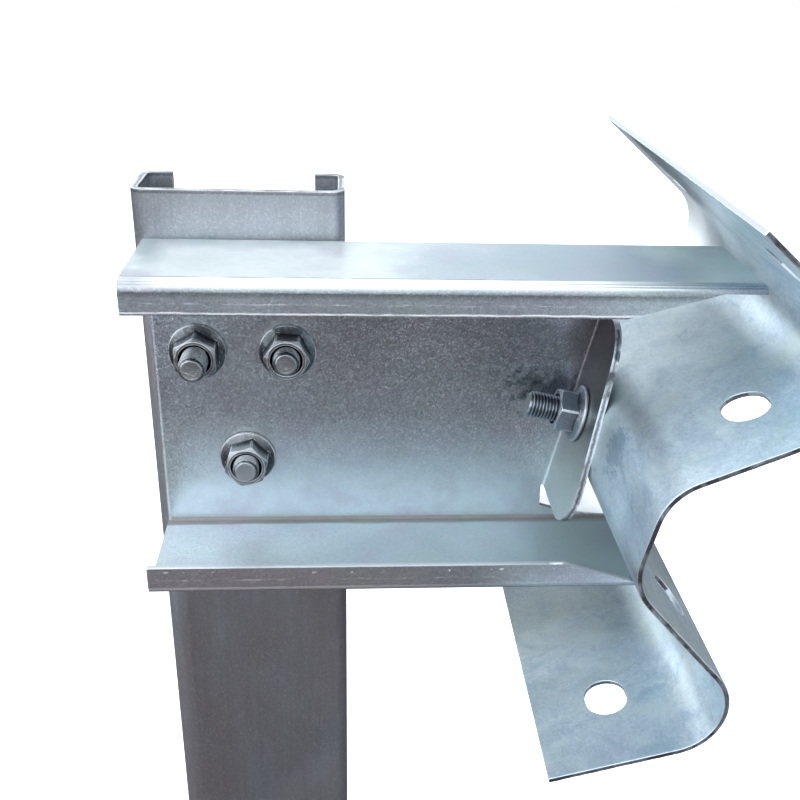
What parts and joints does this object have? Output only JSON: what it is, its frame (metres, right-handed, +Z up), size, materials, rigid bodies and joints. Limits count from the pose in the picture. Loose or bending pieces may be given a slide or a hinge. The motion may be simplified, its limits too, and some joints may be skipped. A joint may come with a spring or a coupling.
{
  "type": "highway guardrail section",
  "caption": "Short section of galvanised highway guardrail: lipped C post, folded spacer bracket and W-beam rail, bolted together.",
  "frame": {"origin": "on the post's foot face, at the middle of its web's thickness and width", "axes": "+Z up the post, +X from the post to the rail and the traffic, Y along the rail"},
  "size_m": [0.3638, 0.3, 0.7528],
  "materials": {
    "post_steel": "hot-dip galvanised, dull dark grey with drawing lines",
    "spacer_steel": "hot-dip galvanised, fine spangle",
    "rail_steel": "hot-dip galvanised, cloudy pale bluish grey",
    "fastener_steel": "hot-dip galvanised, dark matt grey"
  },
  "bodies": {
    "root": {"post": "post_steel", "spacer": "spacer_steel", "rail": "rail_steel", "post_bolt_left": "fastener_steel", "post_nut_left": "fastener_steel", "post_bolt_right": "fastener_steel", "post_nut_right": "fastener_steel", "post_bolt_low": "fastener_steel", "post_nut_low": "fastener_steel", "rail_bolt": "fastener_steel", "rail_nut": "fastener_steel"}
  },
  "joints": []
}
